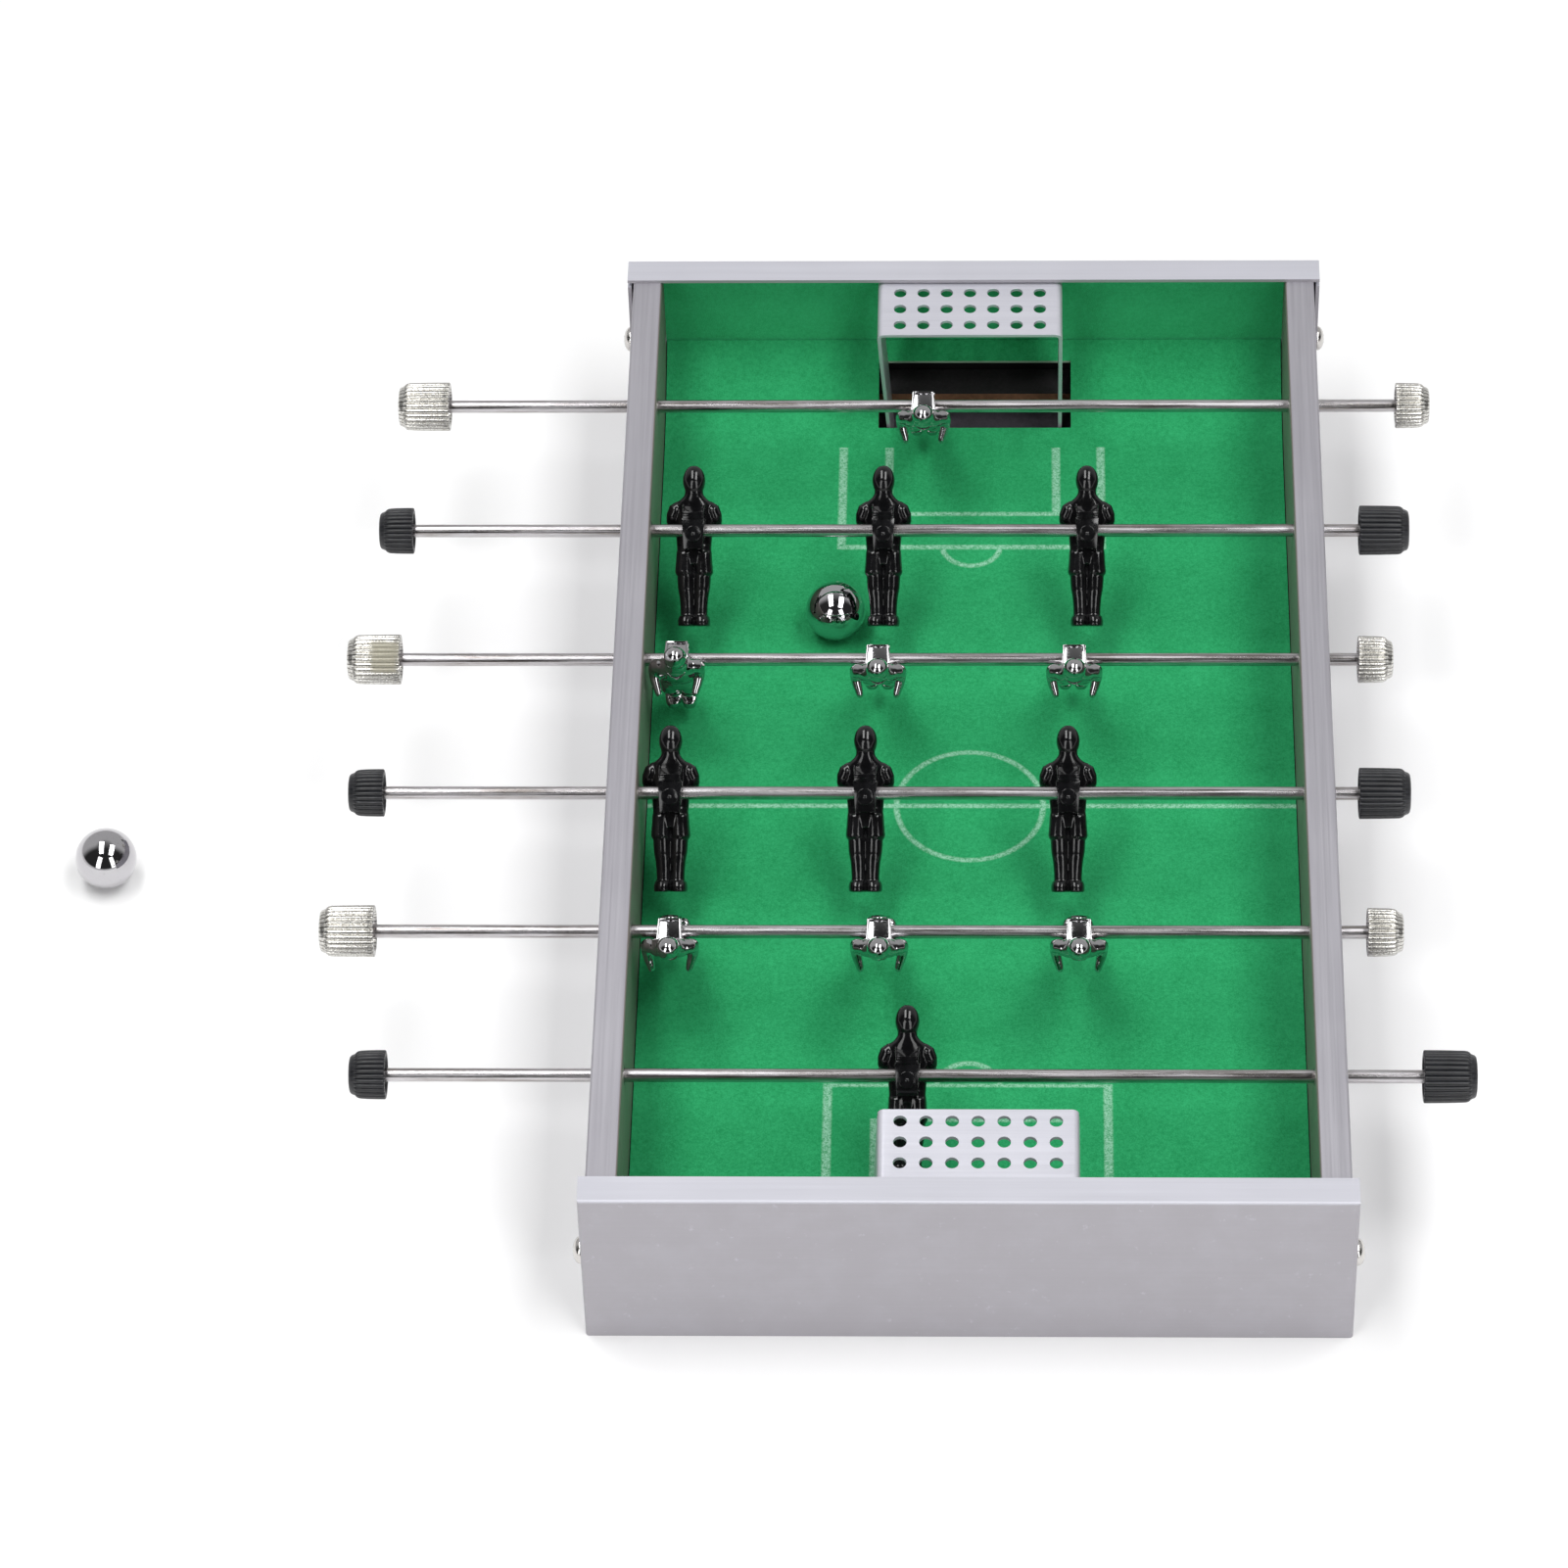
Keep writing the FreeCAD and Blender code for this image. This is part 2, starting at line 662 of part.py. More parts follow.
def rod_row(row, row_y):
    """A rod with its bushes, its handle, its end button and its men."""
    name = row["name"]
    bush_pair(f"{name}_bushes", row_y)
    left_x = row["shift"] - row["span"] / 2
    right_x = row["shift"] + row["span"] / 2
    span = (f"{left_x} - dims.rod_bite", f"{right_x} + dims.rod_bite")
    node(cylinder_x(f"{name}_bar", "dims.rod_radius", span, row_y, "dims.rod_height"), f"{name}_rod")
    grip_out = -1 if row["team"] == "chrome" else 1
    ends = {-1: str(left_x), 1: str(right_x)}
    grip_end, button_end = ends[grip_out], ends[-grip_out]
    knob(f"{name}_handle", "dims.grip_length", "dims.grip_radius", grip_end, grip_out, row_y)
    knob(f"{name}_end_button", "dims.button_length", "dims.button_radius", button_end, -grip_out, row_y)
    for place, (offset, lean) in row["men"].items():
        man(f"{name}_{place}", row["shift"] + offset, row_y, lean, row["team"])


# ---- balls ------------------------------------------------------------------


def ball(label, x, y, rests_on):
    sphere = doc.addObject("Part::Sphere", f"{label}_sphere")
    bind(sphere, Radius="dims.ball_radius")
    put(sphere, str(x), str(y), f"{rests_on} + dims.ball_radius")
    return node(sphere, label)


side_wall("left", -1)
side_wall("right", 1)
end_cap("far_end_cap", 1)
end_cap("near_end_cap", -1)
cap_screws()
floor_panels()
pitch_board()
pitch_card()
end_linings()
goal_hood("far")
goal_hood("near")
for row, row_y in zip(ROWS, ROW_Y):
    rod_row(row, row_y)
ball("pitch_ball", -28.9, 50.0, CARD_TOP)
ball("spare_ball", -179.5, -12.1, "0")

doc.recompute()

# ---- checks and export ------------------------------------------------------

failed = [o.Name for o in doc.Objects if "Invalid" in o.State or "Error" in o.State]
if failed:
    raise RuntimeError(f"objects that did not compute: {failed}")
for thing in nodes:
    shape = thing.Shape
    if shape.isNull() or not shape.isValid() or not shape.Solids:
        raise RuntimeError(f"bad shape: {thing.Label}")
for thing in nodes:
    thing.Shape.exportStep(os.path.join("parts", f"{thing.Label}.step"))
    print(thing.Label, len(thing.Shape.Solids), round(thing.Shape.Volume, 2))
print(len(nodes), "nodes")
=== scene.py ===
import json
import math

import bmesh
import bpy
from mathutils import Matrix, Vector

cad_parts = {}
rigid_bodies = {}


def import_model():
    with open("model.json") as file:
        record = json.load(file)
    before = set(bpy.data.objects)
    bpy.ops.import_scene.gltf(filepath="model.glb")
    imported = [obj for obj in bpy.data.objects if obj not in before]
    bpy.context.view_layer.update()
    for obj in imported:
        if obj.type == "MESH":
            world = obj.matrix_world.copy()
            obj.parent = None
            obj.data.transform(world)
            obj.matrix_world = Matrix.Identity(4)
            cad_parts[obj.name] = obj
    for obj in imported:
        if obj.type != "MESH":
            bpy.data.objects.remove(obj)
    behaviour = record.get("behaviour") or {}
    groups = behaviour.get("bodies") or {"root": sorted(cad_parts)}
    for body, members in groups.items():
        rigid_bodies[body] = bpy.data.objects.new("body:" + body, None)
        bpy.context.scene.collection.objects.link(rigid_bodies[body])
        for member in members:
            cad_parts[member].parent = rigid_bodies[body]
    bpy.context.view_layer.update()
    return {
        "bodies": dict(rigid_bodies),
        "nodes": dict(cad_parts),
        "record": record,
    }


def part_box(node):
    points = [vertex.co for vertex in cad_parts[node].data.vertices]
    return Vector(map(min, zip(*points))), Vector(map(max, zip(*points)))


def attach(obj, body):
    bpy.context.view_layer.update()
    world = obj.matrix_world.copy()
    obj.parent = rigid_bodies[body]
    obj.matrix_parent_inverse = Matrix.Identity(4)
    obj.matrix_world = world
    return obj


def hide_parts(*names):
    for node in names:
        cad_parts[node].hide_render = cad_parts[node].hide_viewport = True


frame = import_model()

MM = 0.001
RECORD = frame["record"]
SLOT_OF = {part["node"]: part["material_slot"] for part in RECORD["subparts"]}

# How far each player leans about its rod, in degrees.
LEAN = {
    "chrome_goalie_man": 46.0,
    "black_attack_man_left": 48.0,
    "black_attack_man_middle": 48.0,
    "black_attack_man_right": 48.0,
    "chrome_midfield_man_left": 32.0,
    "chrome_midfield_man_middle": 44.0,
    "chrome_midfield_man_right": 44.0,
    "black_midfield_man_left": 48.0,
    "black_midfield_man_middle": 48.0,
    "black_midfield_man_right": 48.0,
    "chrome_attack_man_left": 49.0,
    "chrome_attack_man_middle": 49.0,
    "chrome_attack_man_right": 49.0,
    "black_goalie_man": 48.0,
}


# ---- shader helpers ---------------------------------------------------------


class Graph:
    """A node tree under construction."""

    def __init__(self, tree):
        self.tree = tree
        self.coordinates = tree.nodes.new("ShaderNodeTexCoord").outputs
        self.place = self.coordinates["Object"]

    def plug(self, socket, value):
        if isinstance(value, bpy.types.NodeSocket):
            self.tree.links.new(value, socket)
        else:
            socket.default_value = value

    def math(self, operation, *values):
        step = self.tree.nodes.new("ShaderNodeMath")
        step.operation = operation
        for socket, value in zip(step.inputs, values):
            self.plug(socket, value)
        return step.outputs[0]

    def ramp(self, value, low, high, out_low=0.0, out_high=1.0):
        """A smooth step from out_low to out_high as the value goes from low to high."""
        step = self.tree.nodes.new("ShaderNodeMapRange")
        step.interpolation_type = "SMOOTHSTEP"
        for socket, number in zip(step.inputs[:5], (value, low, high, out_low, out_high)):
            self.plug(socket, number)
        return step.outputs[0]

    def stretched(self, scale):
        """Object coordinates scaled per axis, in features a metre."""
        step = self.tree.nodes.new("ShaderNodeMapping")
        self.plug(step.inputs["Vector"], self.place)
        step.inputs["Scale"].default_value = scale
        return step.outputs[0]

    def noise(self, scale, detail=2.0, roughness=0.5):
        """Noise whose scale is one number, or one for each axis."""
        step = self.tree.nodes.new("ShaderNodeTexNoise")
        even = isinstance(scale, (int, float))
        self.plug(step.inputs["Vector"], self.place if even else self.stretched(scale))
        step.inputs["Scale"].default_value = scale if even else 1.0
        step.inputs["Detail"].default_value = detail
        step.inputs["Roughness"].default_value = roughness
        return step.outputs["Fac"]

    def mix(self, amount, first, second):
        step = self.tree.nodes.new("ShaderNodeMix")
        step.data_type = "RGBA"
        colours = [s for s in step.inputs if s.type == "RGBA"]
        self.plug(step.inputs[0], amount)
        for socket, colour in zip(colours, (first, second)):
            if not isinstance(colour, bpy.types.NodeSocket):
                colour = (*colour, 1.0)
            self.plug(socket, colour)
        return next(s for s in step.outputs if s.type == "RGBA")

    def axes(self, source=None):
        step = self.tree.nodes.new("ShaderNodeSeparateXYZ")
        self.plug(step.inputs[0], source or self.place)
        return step.outputs

    def level(self):
        """How nearly level the surface is: 1 on a flat top or underside, 0 on a wall."""
        return self.math("ABSOLUTE", self.axes(self.coordinates["Normal"])[2])


class Shader(Graph):
    """A node material under construction."""

    def __init__(self, name, **constants):
        self.material = bpy.data.materials.new(name)
        self.material.use_nodes = True
        super().__init__(self.material.node_tree)
        self.surface = self.tree.nodes["Principled BSDF"]
        for socket, value in constants.items():
            self.surface.inputs[socket.replace("_", " ")].default_value = value

    def bump(self, height, distance, strength=1.0):
        step = self.tree.nodes.new("ShaderNodeBump")
        self.plug(step.inputs["Height"], height)
        step.inputs["Distance"].default_value = distance
        step.inputs["Strength"].default_value = strength
        self.plug(self.surface.inputs["Normal"], step.outputs[0])

    def colour(self, value):
        self.plug(self.surface.inputs["Base Color"], value)

    def roughness(self, value):
        self.plug(self.surface.inputs["Roughness"], value)


# ---- materials --------------------------------------------------------------

# Near black, for painted shade where the light doesn't reach.
SHADE_BLACK = (0.012, 0.011, 0.012)


def brushed_metal(name, dark, light, along, rough, metallic, inside=None, upright=None):
    """Sheet metal with fine brush marks along one axis and soft blotches; upright faces, if given a colour,
    are plainer and painted darker as shade.
    """
    shader = Shader(name, Metallic=metallic)
    fine = [2600.0] * 3
    fine[along] = 22.0
    coarse = [420.0] * 3
    coarse[along] = 9.0
    marks = shader.noise(tuple(fine), 3.0, 0.6)
    bands = shader.noise(tuple(coarse), 2.0)
    blotches = shader.noise(38.0, 3.0)
    tone = shader.math("MULTIPLY_ADD", bands, 0.2, shader.math("MULTIPLY", blotches, 0.4))
    tone = shader.math("MULTIPLY_ADD", marks, 0.4, tone)
    colour = shader.mix(shader.ramp(tone, 0.25, 0.75), dark, light)
    # Painted shade: upright faces get a darker grey, with specks and dirt on it.
    if upright:
        specks = shader.ramp(shader.noise(420.0, 5.0, 0.75), 0.62, 0.72)
        shaded_upright_face = shader.mix(shader.math("MULTIPLY", specks, 0.5), upright, light)
        dirt = shader.ramp(shader.noise(130.0, 4.0, 0.6), 0.4, 0.7, 0.0, 0.15)
        shaded_upright_face = shader.mix(dirt, shaded_upright_face, dark)
        colour = shader.mix(shader.ramp(shader.level(), 0.3, 0.8), shaded_upright_face, colour)
    # Painted shade: the inner side is painted in a darker colour.
    if inside:
        colour = paint_inside_shade(shader, colour, 1 - along, *inside)
    shader.colour(colour)
    shader.roughness(shader.ramp(marks, 0.3, 0.7, *rough))
    shader.bump(marks, 0.00002, 0.5)
    return shader.material


def paint_inside_shade(shader, colour, axis, height, dull):
    """Paint the inner side of a wall or cap darker, up to a height in metres: painted shade inside the case,
    where the light doesn't reach.
    """
    fade = 0.002
    facing = shader.axes(shader.coordinates["Normal"])[axis]
    place = shader.axes()
    inward = shader.math("MULTIPLY", shader.math("SIGN", place[axis]), facing)
    low = shader.ramp(place[2], height, height + fade, 1.0, 0.0)
    inner = shader.math("MULTIPLY", shader.ramp(inward, -0.6, -0.4, 1.0, 0.0), low)
    # Painted shade: the dull colour is painted over the inner side below the height.
    return shader.mix(inner, colour, dull)


def painted_board(name, dark, light, level_faces_shade_black=False):
    """Fibreboard: short dark fibres in a mottled ground, its level faces painted black as shade if asked."""
    shader = Shader(name)
    fibres = shader.noise((900.0, 900.0, 900.0), 4.0, 0.7)
    mottle = shader.noise(60.0, 3.0)
    tone = shader.math("MULTIPLY_ADD", fibres, 0.6, shader.math("MULTIPLY", mottle, 0.4))
    colour = shader.mix(shader.ramp(tone, 0.3, 0.7), dark, light)
    if level_faces_shade_black:
        # Painted shade: level faces go near black, standing in for the shadow under the card.
        colour = shader.mix(shader.ramp(shader.level(), 0.5, 0.6), colour, SHADE_BLACK)
    shader.colour(colour)
    shader.roughness(shader.ramp(fibres, 0.3, 0.7, 0.75, 0.95))
    shader.bump(fibres, 0.00008, 0.6)
    return shader.material


def marking(shader, x, y):
    """A mask of the pitch's chalk lines, from the place on the card in millimetres."""
    soft = 0.3
    centre_x, halfway = -0.3, -0.4
    circle_radius, arc_radius, line_width, side_width = 15.2, 6.3, 1.1, 1.7
    far_box, near_box = 75.3, 76.5
    # The far lines stop short of the goal; the near ones run on under the cap's lip.
    far_stop, near_stop = 105.0, 140.0

    def stroke(distance, width):
        half = width / 2
        return shader.ramp(shader.math("ABSOLUTE", distance), half - soft, half + soft, 1.0, 0.0)

    def less(value, limit):
        return shader.math("LESS_THAN", value, limit)

    def both(first, second):
        return shader.math("MULTIPLY", first, second)

    def ring(centre_y, radius, forward):
        down = shader.math("SUBTRACT", forward, centre_y)
        across = shader.math("POWER", shader.math("SUBTRACT", x, centre_x), 2.0)
        reach = shader.math("SQRT", shader.math("ADD", across, shader.math("POWER", down, 2.0)))
        return stroke(shader.math("SUBTRACT", reach, radius), line_width)

    def area(forward, left, right, front, back, front_width):
        """Three sides of a box: two that run forward and one across its front."""
        off_centre = shader.math("ABSOLUTE", shader.math("SUBTRACT", x, (left + right) / 2))
        outside = shader.math("SUBTRACT", off_centre, (right - left) / 2)
        depth = shader.math("SUBTRACT", forward, (front + back) / 2)
        beside = less(shader.math("ABSOLUTE", depth), (back - front) / 2 + front_width / 2)
        sides = both(stroke(outside, side_width), beside)
        ahead = both(stroke(shader.math("SUBTRACT", forward, front), front_width), less(outside, 0.0))
        return shader.math("MAXIMUM", sides, ahead)

    nearer = shader.math("MULTIPLY", y, -1.0)
    lines = [
        stroke(shader.math("SUBTRACT", y, halfway), line_width),
        ring(halfway, circle_radius, y),
        area(y, -28.2, 27.7, far_box, far_stop, 1.3),
        area(y, -18.2, 18.0, 85.4, far_stop, 1.1),
        both(ring(76.0, arc_radius, y), less(y, far_box)),
        area(nearer, -28.4, 27.6, near_box, near_stop, 0.8),
        area(nearer, -18.9, 21.0, 85.6, near_stop, 0.8),
        both(ring(77.0, arc_radius, nearer), less(nearer, near_box)),
    ]
    joined = lines[0]
    for line in lines[1:]:
        joined = shader.math("MAXIMUM", joined, line)
    return joined


def flocked_card(name, dark, light, lined):
    """Green flocking, mottled and slightly worn; the pitch also has chalk lines and a pale cut edge."""
    shader = Shader(name, Roughness=0.95, Specular_IOR_Level=0.08)
    pile = shader.noise(3600.0, 2.0, 0.6)
    speckle = shader.noise(1100.0, 2.0, 0.6)
    mottle = shader.noise(170.0, 4.0, 0.65)
    drift = shader.noise(22.0, 2.0)
    tone = shader.math("MULTIPLY_ADD", pile, 0.42, shader.math("MULTIPLY", speckle, 0.3))
    slow = shader.math("MULTIPLY_ADD", mottle, 0.2, shader.math("MULTIPLY", drift, 0.12))
    tone = shader.math("ADD", tone, slow)
    green = shader.mix(shader.ramp(tone, 0.3, 0.74), dark, light)
    if lined:
        x, y, _ = (shader.math("MULTIPLY", axis, 1000.0) for axis in shader.axes())
        powder = shader.math("MULTIPLY_ADD", speckle, 0.35, shader.math("MULTIPLY", pile, 0.65))
        chalk = shader.math("MULTIPLY", marking(shader, x, y), shader.ramp(powder, 0.36, 0.62, 0.1, 0.62))
        green = shader.mix(chalk, green, (0.47, 0.74, 0.6))
        edge = shader.ramp(shader.level(), 0.5, 0.6, 1.0, 0.0)
        green = shader.mix(edge, green, (0.3, 0.4, 0.31))
    shader.colour(green)
    shader.bump(shader.math("ADD", pile, shader.math("MULTIPLY", speckle, 0.5)), 0.00012, 0.7)
    return shader.material


def drawn_steel(name):
    """Rod steel: long streaks along the rod, a little dirt and a soft gloss."""
    shader = Shader(name, Metallic=1.0)
    streaks = shader.noise((26.0, 2300.0, 2300.0), 3.0, 0.65)
    stains = shader.noise((90.0, 420.0, 420.0), 4.0, 0.7)
    tone = shader.math("MULTIPLY_ADD", streaks, 0.6, shader.math("MULTIPLY", stains, 0.4))
    shader.colour(shader.mix(shader.ramp(tone, 0.34, 0.58), (0.3, 0.27, 0.25), (0.62, 0.6, 0.62)))
    shader.roughness(shader.ramp(streaks, 0.3, 0.7, 0.16, 0.34))
    shader.bump(streaks, 0.00003, 0.4)
    return shader.material


def mirror_plating(name, colour, rough, waviness=0.00001, scale=260.0):
    """Bright plating with faint ripples and small dull spots."""
    shader = Shader(name, Metallic=1.0)
    ripple = shader.noise(scale, 2.0)
    spots = shader.noise(1900.0, 3.0, 0.7)
    dull = tuple(channel * 0.86 for channel in colour)
    shader.colour(shader.mix(shader.ramp(spots, 0.58, 0.72), colour, dull))
    shader.roughness(shader.ramp(spots, 0.4, 0.75, *rough))
    shader.bump(ripple, waviness, 0.5)
    return shader.material


RIBS = 28


def grooves(shader):
    """How deep in a groove between a knob's ribs a point lies, from 0 to 1; the mask for the painted shade in
    the grooves.
    """
    _, across, up = shader.axes()
    turn = shader.math("MULTIPLY", shader.math("ARCTAN2", up, across), RIBS / (2 * math.pi))
    place = shader.math("FRACT", shader.math("ADD", turn, 0.5))
    return shader.ramp(shader.math("ABSOLUTE", shader.math("SUBTRACT", place, 0.5)), 0.28, 0.5)


def plated_knob(name, worn):
    """Metallised plastic: bright, grainy, yellowed where the coating has rubbed thin, with painted shade in
    the grooves between ribs.
    """
    shader = Shader(name)
    grain = shader.noise(2600.0, 3.0, 0.7)
    patches = shader.noise(330.0, 3.0, 0.6)
    bright = shader.mix(shader.ramp(grain, 0.4, 0.66), (0.78, 0.77, 0.74), (0.48, 0.46, 0.42))
    # Painted shade: the grooves between ribs are painted dark.
    bright = shader.mix(grooves(shader), bright, (0.09, 0.085, 0.075))
    metallic = 0.92
    if worn:
        along, across, up = (shader.math("MULTIPLY", axis, 1000.0) for axis in shader.axes())
        from_middle = shader.math("ABSOLUTE", shader.math("SUBTRACT", along, 3.1))
        aside = shader.math("ABSOLUTE", shader.math("SUBTRACT", across, 3.0))
        reach = shader.math("MAXIMUM", from_middle, shader.math("MULTIPLY", aside, 0.9))
        ragged = shader.math("MULTIPLY_ADD", patches, 2.6, reach)
        rub = shader.math("MULTIPLY", shader.ramp(ragged, 3.2, 4.8, 0.8, 0.0), shader.ramp(up, 0.5, 1.8))
        bright = shader.mix(rub, bright, (0.33, 0.31, 0.23))
        metallic = shader.ramp(rub, 0.2, 0.8, 0.92, 0.15)
    shader.colour(bright)
    shader.plug(shader.surface.inputs["Metallic"], metallic)
    shader.roughness(shader.ramp(grain, 0.3, 0.7, 0.16, 0.36))
    shader.bump(shader.math("ADD", grain, shader.math("MULTIPLY", patches, 0.6)), 0.00005, 0.7)
    return shader.material


def moulded_plastic(name, dark, light, rough, grain_scale, grain_depth, ribbed=False):
    """Plain moulded plastic with a fine surface grain and faint handling marks; if ribbed, painted shade in
    the grooves between ribs.
    """
    shader = Shader(name, Specular_IOR_Level=0.5)
    grain = shader.noise(grain_scale, 3.0, 0.6)
    marks = shader.noise(240.0, 3.0)
    colour = shader.mix(shader.ramp(marks, 0.35, 0.7), dark, light)
    if ribbed:
        # Painted shade in the grooves between ribs.
        colour = shader.mix(grooves(shader), colour, (0.002, 0.002, 0.003))
    shader.colour(colour)
    shader.roughness(shader.ramp(grain, 0.3, 0.7, *rough))
    shader.bump(grain, grain_depth, 0.6)
    return shader.material


ALONG_X, ALONG_Y = 0, 1
MATERIALS = {
    # The walls' inner side is painted a darker brownish grey as shade.
    "wall_metal": brushed_metal(
        "wall_metal", (0.35, 0.34, 0.375), (0.43, 0.42, 0.455), ALONG_Y,
        rough=(0.4, 0.55), metallic=0.6, inside=(0.05, (0.27, 0.24, 0.225)),
    ),
    "wall_board": painted_board("wall_board", (0.13, 0.07, 0.035), (0.27, 0.16, 0.085)),
    # The cap's inner side, up to 2 cm, is painted near black as shade.
    "cap_sheet": brushed_metal(
        "cap_sheet", (0.5, 0.5, 0.55), (0.56, 0.56, 0.615), ALONG_X,
        rough=(0.4, 0.52), metallic=0.3, inside=(0.02, SHADE_BLACK),
        # A darker grey painted on the cap's upright faces as shade.
        upright=(0.39, 0.375, 0.405),
    ),
    "hood_sheet": brushed_metal(
        "hood_sheet", (0.57, 0.57, 0.63), (0.66, 0.66, 0.72), ALONG_X,
        rough=(0.34, 0.46), metallic=0.5,
    ),
    "screw_steel": mirror_plating("screw_steel", (0.62, 0.6, 0.58), (0.16, 0.34), 0.00002),
    "bottom_board": painted_board("bottom_board", (0.05, 0.043, 0.055), (0.1, 0.09, 0.11)),
    # The bare wood's level faces are painted black as shade.
    "bare_wood": painted_board("bare_wood", (0.16, 0.075, 0.035), (0.3, 0.155, 0.08), level_faces_shade_black=True),
    "green_flock": flocked_card("green_flock", (0.013, 0.24, 0.078), (0.036, 0.4, 0.155), lined=True),
    # The end linings are a lighter copy of the pitch flock: painted light on the upright linings.
    "lit_green_lining": flocked_card("lit_green_lining", (0.03, 0.37, 0.14), (0.06, 0.54, 0.23), lined=False),
    "bush_plastic": moulded_plastic(
        "bush_plastic", (0.02, 0.02, 0.02), (0.05, 0.05, 0.05), (0.4, 0.6), 1400.0, 0.00002
    ),
    "rod_steel": drawn_steel("rod_steel"),
    "chrome_knob": plated_knob("chrome_knob", worn=False),
    "chrome_knob_worn": plated_knob("chrome_knob_worn", worn=True),
    # Black knobs get painted shade in their grooves.
    "black_knob": moulded_plastic(
        "black_knob", (0.01, 0.0105, 0.013), (0.02, 0.021, 0.025), (0.3, 0.5), 2600.0, 0.00004, ribbed=True
    ),
    "chrome_player": mirror_plating("chrome_player", (0.48, 0.475, 0.485), (0.05, 0.13)),
    "black_player": moulded_plastic(
        "black_player", (0.003, 0.003, 0.0035), (0.007, 0.007, 0.008), (0.07, 0.15), 900.0, 0.000008
    ),
    "ball_steel": mirror_plating("ball_steel", (0.56, 0.55, 0.57), (0.03, 0.08), 0.000004, 90.0),
}
for node, slot in SLOT_OF.items():
    # Linings take the lighter copy of the flock, which is painted light.
    if node.endswith("_lining"):
        slot = "lit_green_lining"
    part = frame["nodes"][node]
    part.data.materials.clear()
    part.data.materials.append(MATERIALS[slot])


# ---- mesh helpers -----------------------------------------------------------


def finished(mesh, place, body, node):
    """Put a mesh in the scene as the piece that stands for a CAD node and rides on its body."""
    piece = bpy.data.objects.new(f"{node}_shown", mesh)
    bpy.context.scene.collection.objects.link(piece)
    piece.matrix_world = place
    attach(piece, body)
    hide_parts(node)


def circle(count):
    """The cosine and sine of evenly spaced angles round a circle."""
    turns = (2 * math.pi * i / count for i in range(count))
    return [(math.cos(turn), math.sin(turn)) for turn in turns]


def to_mesh(name, bm, sharp=None):
    """A bmesh as a mesh with smooth faces, and edges over the sharp angle kept crisp."""
    bmesh.ops.recalc_face_normals(bm, faces=bm.faces)
    mesh = bpy.data.meshes.new(name)
    bm.to_mesh(mesh)
    bm.free()
    mesh.shade_smooth()
    if sharp is not None:
        mesh.set_sharp_from_angle(angle=math.radians(sharp))
    return mesh


def dressed(mesh, material):
    """The same mesh with one material and no other."""
    mesh.materials.clear()
    mesh.materials.append(material)
    return mesh


def evaluated(name, mesh, *modifiers):
    """What a mesh becomes under a list of modifiers, each a type and its settings."""
    carrier = bpy.data.objects.new(f"{name}_carrier", mesh)
    bpy.context.scene.collection.objects.link(carrier)
    for kind, settings in modifiers:
        modifier = carrier.modifiers.new(kind.lower(), kind)
        for key, value in settings.items():
            setattr(modifier, key, value)
    graph = bpy.context.evaluated_depsgraph_get()
    result = bpy.data.meshes.new_from_object(carrier.evaluated_get(graph))
    bpy.data.objects.remove(carrier)
    result.name = name
    return result


def skin(bm, rings):
    """Close a stack of equal rings of points with quads and two end faces."""
    rows = [[bm.verts.new(point) for point in ring] for ring in rings]
    for lower, upper in zip(rows, rows[1:]):
        for i in range(len(lower)):
            j = (i + 1) % len(lower)
            bm.faces.new((lower[i], lower[j], upper[j], upper[i]))
    bm.faces.new(reversed(rows[0]))
    bm.faces.new(rows[-1])


def oval(centre_x, half, back, front, z, power=2.4, count=32):
    """A level ring: a rounded box from back to front, half wide each side."""
    middle, reach = (back + front) / 2, (front - back) / 2
    points = []
    for c, s in circle(count):
        x = centre_x + half * math.copysign(abs(c) ** (2 / power), c)
        y = middle + reach * math.copysign(abs(s) ** (2 / power), s)
        points.append(Vector((x, y, z)) * MM)
    return points


def tube(bm, path, count=20):
    """A round limb through points of (x, y, z, radius), with domed ends."""
    centres = [Vector(point[:3]) for point in path]
    dome = [(0.0, 1.0), (0.7, 0.72), (0.95, 0.3)]
    rings = []
    for i, point in enumerate(path):
        before, after = centres[max(i - 1, 0)], centres[min(i + 1, len(path) - 1)]
        heading = (after - before).normalized()
        side = heading.orthogonal().normalized()
        if i:
            side = (last_side - heading * last_side.dot(heading)).normalized()
        last_side = side
        up = heading.cross(side)
        offsets = dome[:1]
        if i == 0:
            offsets = [(-along, share) for along, share in reversed(dome)]
        elif i == len(path) - 1:
            offsets = dome
        for along, share in offsets:
            ring = []
            for c, s in circle(count):
                out = side * c + up * s
                ring.append((centres[i] + heading * along * point[3] + out * point[3] * share) * MM)
            rings.append(ring)
    skin(bm, rings)


# ---- players ----------------------------------------------------------------


